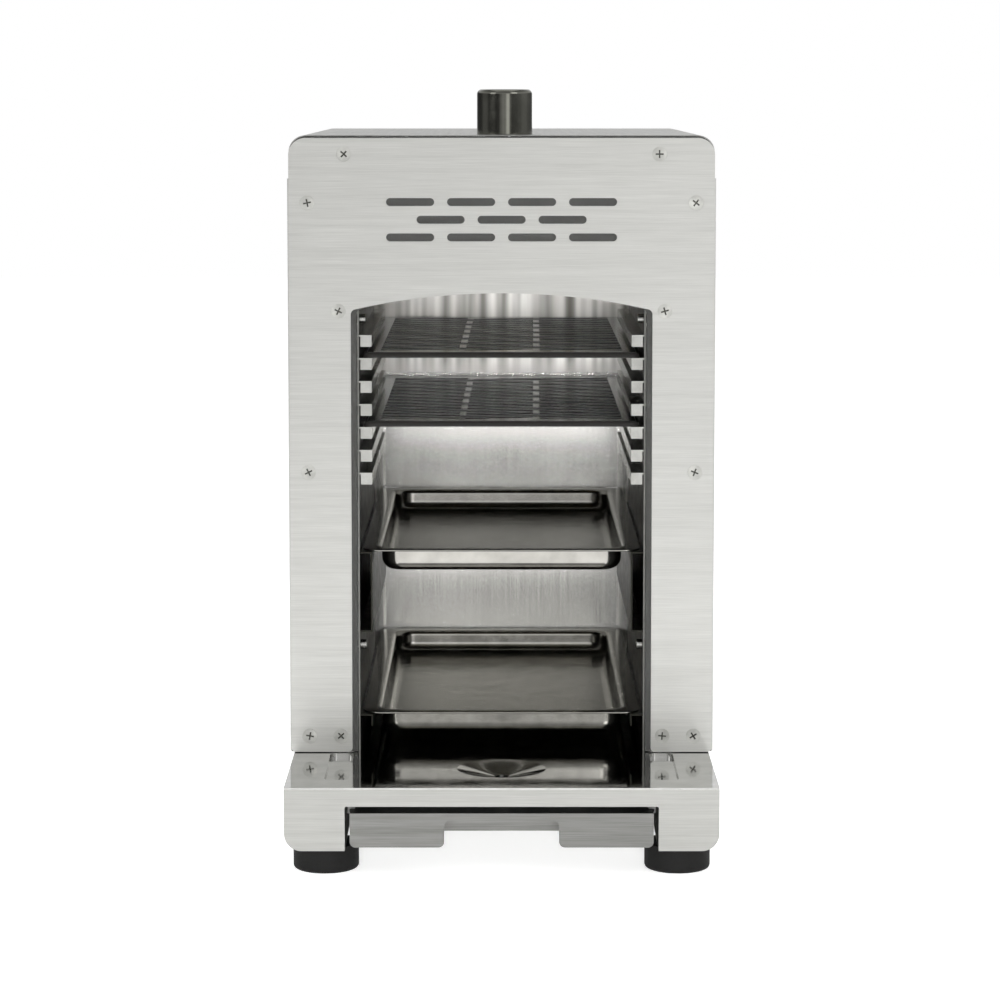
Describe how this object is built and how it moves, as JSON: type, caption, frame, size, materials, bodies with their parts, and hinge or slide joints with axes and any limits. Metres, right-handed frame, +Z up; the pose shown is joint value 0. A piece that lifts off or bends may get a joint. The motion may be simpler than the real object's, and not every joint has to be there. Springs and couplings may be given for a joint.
{
  "type": "overhead gas grill",
  "caption": "Free-standing overhead gas grill: steel housing open at the front, burner above, racked grates and trays, drip drawer and a push-and-turn knob.",
  "frame": {"origin": "on the table, under the middle of the whole object, between the base's front and the gas inlet's end", "axes": "+Z up, +X to the right as seen from the front, +Y from the open front to the rear"},
  "size_m": [0.2676, 0.479, 0.4724],
  "materials": {
    "brushed_panel": "horizontally brushed",
    "black_coating": "matt black",
    "bright_fasteners": "bright plated",
    "grey_cover": "satin",
    "liner_steel": "mill finish",
    "burner_ceramic": "porous",
    "brass_fittings": "machined",
    "bright_pipe": "drawn",
    "black_plastic": "matt",
    "white_ceramic": "glazed",
    "lead_rubber": "smooth",
    "rack_steel": "polished",
    "polished_plate": "polished",
    "foot_rubber": "matt",
    "knob_metal": "dark polished",
    "grate_coating": "satin non-stick coating",
    "tray_steel": "polished",
    "drawer_steel": "brushed"
  },
  "bodies": {
    "housing": {"front_panel": "brushed_panel", "front_frame": "black_coating", "panel_screws": "bright_fasteners", "panel_nuts": "bright_fasteners", "top_cover": "grey_cover", "side_panel_right": "brushed_panel", "side_panel_left": "brushed_panel", "rear_panel": "brushed_panel", "rear_screws": "bright_fasteners", "liner_right": "liner_steel", "liner_left": "liner_steel", "liner_back": "liner_steel", "liner_spacers": "bright_fasteners", "chamber_roof": "liner_steel", "burner_tiles": "burner_ceramic", "burner_plenum": "liner_steel", "venturi_tube": "liner_steel", "gas_jet": "brass_fittings", "valve_body": "brass_fittings", "valve_cap": "bright_fasteners", "valve_bracket": "liner_steel", "supply_pipe": "bright_pipe", "pipe_nut": "brass_fittings", "gas_inlet_nipple": "brass_fittings", "inlet_locknut": "brass_fittings", "piezo_igniter": "black_plastic", "ignition_electrode": "white_ceramic", "ignition_lead": "lead_rubber", "thermocouple": "brass_fittings", "thermocouple_lead": "brass_fittings", "rack_right": "rack_steel", "rack_left": "rack_steel", "grate_rails_right": "rack_steel", "grate_rails_left": "rack_steel", "tray_rails_right": "rack_steel", "tray_rails_left": "rack_steel", "rack_bolts": "bright_fasteners", "base_shell": "brushed_panel", "base_top_plate": "polished_plate", "base_stiffeners": "liner_steel", "drawer_runner_right": "liner_steel", "drawer_runner_left": "liner_steel", "housing_brackets": "liner_steel", "foot_front_left": "foot_rubber", "foot_front_right": "foot_rubber", "foot_rear_left": "foot_rubber", "foot_rear_right": "foot_rubber", "foot_screws": "bright_fasteners", "foot_nuts": "bright_fasteners"},
    "valve_plug": {"valve_plug": "brass_fittings", "knob_spring": "bright_fasteners"},
    "control_knob": {"control_knob": "knob_metal", "knob_spindle": "bright_fasteners", "knob_grub_screw": "bright_fasteners"},
    "grate_upper": {"grate_upper": "grate_coating"},
    "grate_lower": {"grate_lower": "grate_coating"},
    "tray_upper": {"tray_upper": "tray_steel"},
    "tray_lower": {"tray_lower": "tray_steel"},
    "drip_drawer": {"drip_drawer": "drawer_steel"}
  },
  "joints": [
    {"name": "knob_turn", "type": "hinge", "parent": "housing", "child": "valve_plug", "pos_m": [0.002, -0.0895, 0.414], "axis": [0, 0, 1], "range_deg": [0, 180]},
    {"name": "knob_push", "type": "slide", "parent": "valve_plug", "child": "control_knob", "axis": [0, 0, -1], "range_m": [0, 0.004], "stiffness_N_per_m": 1500, "springref_m": -0.004, "deforming": ["knob_spring"]},
    {"name": "grate_upper_slide", "type": "slide", "parent": "housing", "child": "grate_upper", "axis": [0, -1, 0], "range_m": [0, 0.16]},
    {"name": "grate_lower_slide", "type": "slide", "parent": "housing", "child": "grate_lower", "axis": [0, -1, 0], "range_m": [0, 0.16]},
    {"name": "tray_upper_slide", "type": "slide", "parent": "housing", "child": "tray_upper", "axis": [0, -1, 0], "range_m": [0, 0.16]},
    {"name": "tray_lower_slide", "type": "slide", "parent": "housing", "child": "tray_lower", "axis": [0, -1, 0], "range_m": [0, 0.16]},
    {"name": "drawer_slide", "type": "slide", "parent": "housing", "child": "drip_drawer", "axis": [0, -1, 0], "range_m": [0, 0.15]}
  ]
}
